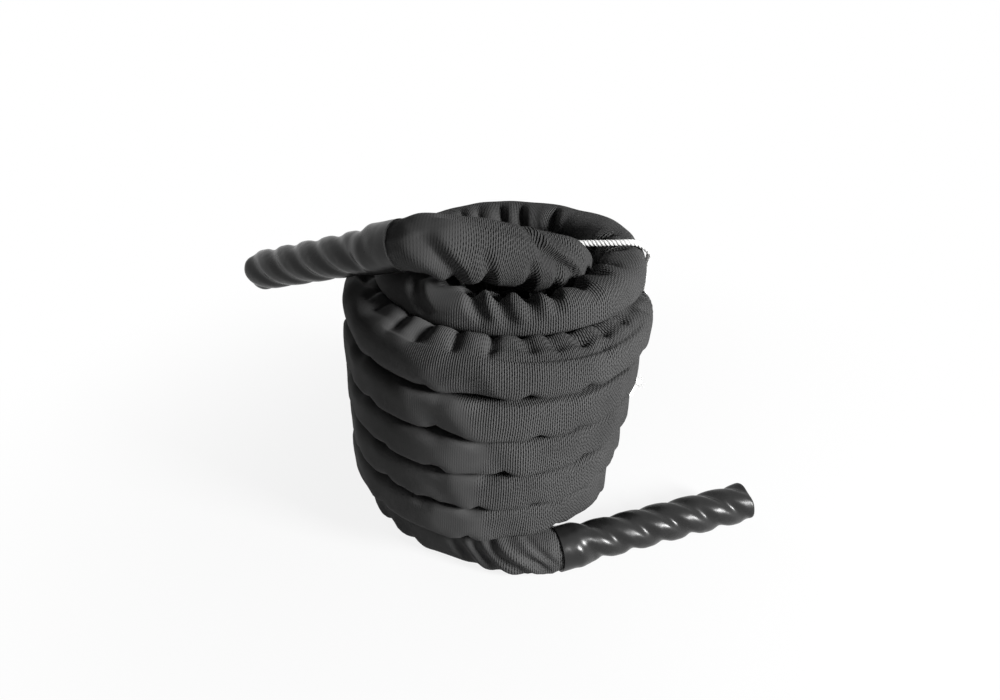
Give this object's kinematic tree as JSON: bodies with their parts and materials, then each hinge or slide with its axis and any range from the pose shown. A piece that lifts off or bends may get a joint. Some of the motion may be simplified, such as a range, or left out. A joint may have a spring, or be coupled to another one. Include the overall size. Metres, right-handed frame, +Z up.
{
  "type": "battle rope",
  "caption": "Sleeved heavy training rope coiled in a tied upright stack, with a shrunk-on lobed grip at each end.",
  "frame": {"origin": "on the floor, under the middle of the whole coiled rope's box", "axes": "+Z up along the coil's axis, -Y to the side the rope is seen from in the picture, +X to the right, where the grip lies on the floor"},
  "size_m": [0.5436, 0.3298, 0.3699],
  "materials": {
    "sleeve": "matt woven polyester cloth, charcoal",
    "rope_core": "laid polyester yarn",
    "grip_film": "glossy black heat-shrink",
    "tie_cord": "white twisted cord"
  },
  "bodies": {
    "root": {"sleeve_coil": "sleeve", "sleeve_lower": "sleeve", "sleeve_upper": "sleeve", "core_coil": "rope_core", "core_lower": "rope_core", "core_upper": "rope_core", "strand_lower_1": "rope_core", "strand_lower_2": "rope_core", "strand_lower_3": "rope_core", "strand_upper_1": "rope_core", "strand_upper_2": "rope_core", "strand_upper_3": "rope_core", "grip_lower": "grip_film", "grip_upper": "grip_film", "tie_right": "tie_cord", "tie_back_right": "tie_cord", "tie_back_left": "tie_cord"}
  },
  "joints": []
}
